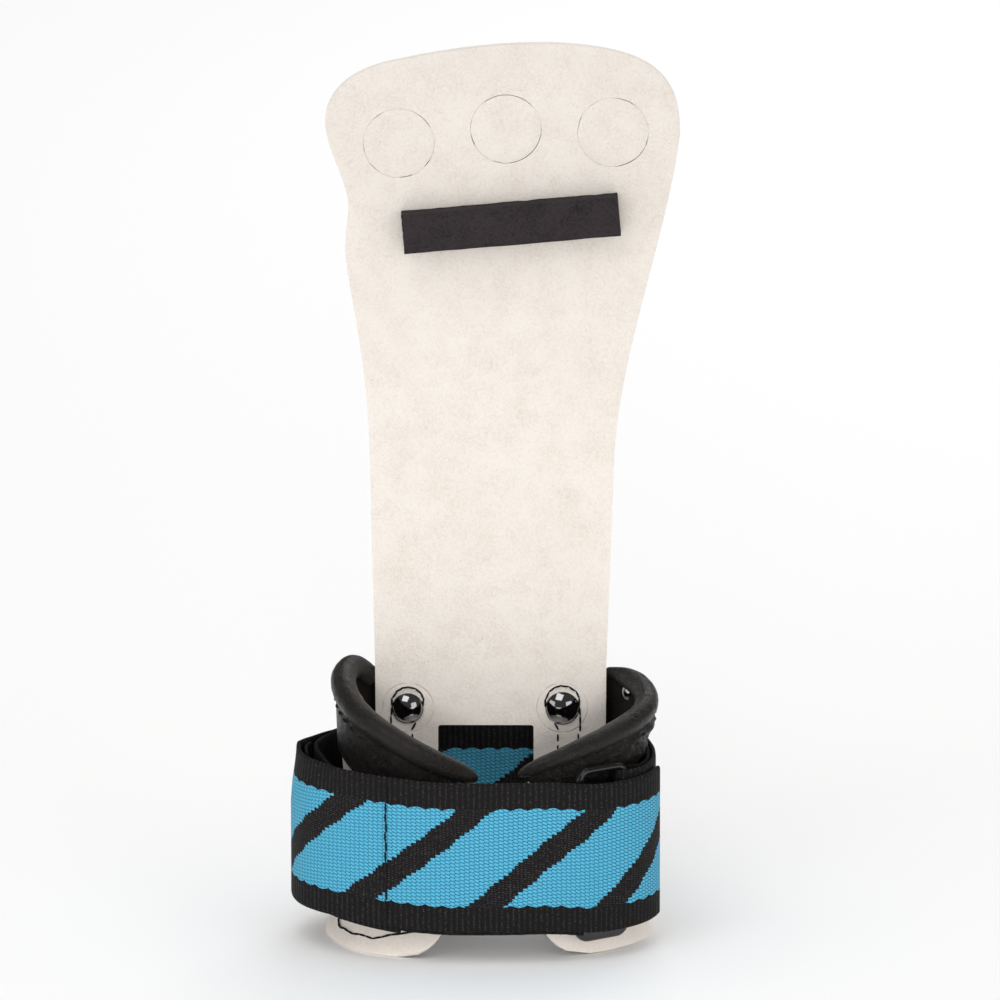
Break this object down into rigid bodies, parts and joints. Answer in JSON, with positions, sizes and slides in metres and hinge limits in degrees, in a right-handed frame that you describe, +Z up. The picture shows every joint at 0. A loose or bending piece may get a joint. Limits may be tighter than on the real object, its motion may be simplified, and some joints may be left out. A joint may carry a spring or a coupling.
{
  "type": "gymnastics hand grip",
  "caption": "Gymnast's leather hand grip: flared palm with finger plugs and a covered dowel, riveted to a padded wristband closed by a woven wrap strap.",
  "frame": {"origin": "middle of the bounding box at the floor that the wristband stands on", "axes": "+Z up the palm leather to the finger end, +X to the right as the hand side is seen, +Y towards the bar side of the palm; the closure of the wristband faces -Y"},
  "size_m": [0.1006, 0.0578, 0.2328],
  "materials": {
    "palm_leather": "cream suede, flesh side out",
    "shell_leather": "cream leather, smooth",
    "black_leather": "soft black leather, satin",
    "strip_suede": "black felt-like suede strip",
    "dowel_wood": "turned hardwood",
    "webbing": "woven jacquard, blue and black",
    "hook_fabric": "hook and loop tape",
    "ring_plastic": "moulded, glossy",
    "rivet_metal": "black nickel",
    "washer_steel": "plain",
    "foam": "foam cord",
    "thread": "bonded thread"
  },
  "bodies": {
    "wristband": {"palm_base": "palm_leather", "wing_shell_left": "shell_leather", "wing_shell_right": "shell_leather", "wing_lining_left": "black_leather", "wing_lining_right": "black_leather", "wing_binding_left": "black_leather", "wing_binding_right": "black_leather", "wing_roll_left": "black_leather", "wing_roll_right": "black_leather", "roll_core_left": "foam", "roll_core_right": "foam", "rivet_cap_left": "rivet_metal", "rivet_cap_right": "rivet_metal", "rivet_back_left": "rivet_metal", "rivet_back_right": "rivet_metal", "washer_left": "washer_steel", "washer_right": "washer_steel", "side_rivet": "rivet_metal", "strap": "webbing", "loop_tape": "hook_fabric", "ring": "ring_plastic", "ring_tab": "hook_fabric", "stitches_leg_left": "thread", "stitches_leg_right": "thread", "stitches_roll_left": "thread", "stitches_roll_right": "thread", "stitches_lobe_left": "thread", "stitches_lobe_right": "thread"},
    "palm": {"palm_panel": "palm_leather"},
    "fingers": {"finger_panel": "palm_leather", "dowel": "dowel_wood", "dowel_cover": "strip_suede", "dowel_base": "strip_suede"},
    "left_plug": {"plug_left": "palm_leather"},
    "middle_plug": {"plug_middle": "palm_leather"},
    "right_plug": {"plug_right": "palm_leather"},
    "strap_flap": {"strap_end": "webbing", "hook_tape": "hook_fabric", "stitches_strap": "thread"}
  },
  "joints": [
    {"name": "wrist_flex", "type": "hinge", "parent": "wristband", "child": "palm", "pos_m": [0.0015, 0.0215, 0.072], "axis": [1, 0, 0], "range_deg": [-60, 60], "stiffness_Nm_per_rad": 0.12},
    {"name": "finger_curl", "type": "hinge", "parent": "palm", "child": "fingers", "pos_m": [0.0015, 0.0215, 0.148], "axis": [-1, 0, 0], "range_deg": [-25, 85], "stiffness_Nm_per_rad": 0.1},
    {"name": "left_plug_push", "type": "slide", "parent": "fingers", "child": "left_plug", "axis": [0, 1, 0], "range_m": [0, 0.009]},
    {"name": "middle_plug_push", "type": "slide", "parent": "fingers", "child": "middle_plug", "axis": [0, 1, 0], "range_m": [0, 0.009]},
    {"name": "right_plug_push", "type": "slide", "parent": "fingers", "child": "right_plug", "axis": [0, 1, 0], "range_m": [0, 0.009]},
    {"name": "strap_peel", "type": "hinge", "parent": "wristband", "child": "strap_flap", "pos_m": [-0.02823, -0.02531, 0.029], "axis": [0, 0, -1], "range_deg": [0, 70]}
  ]
}
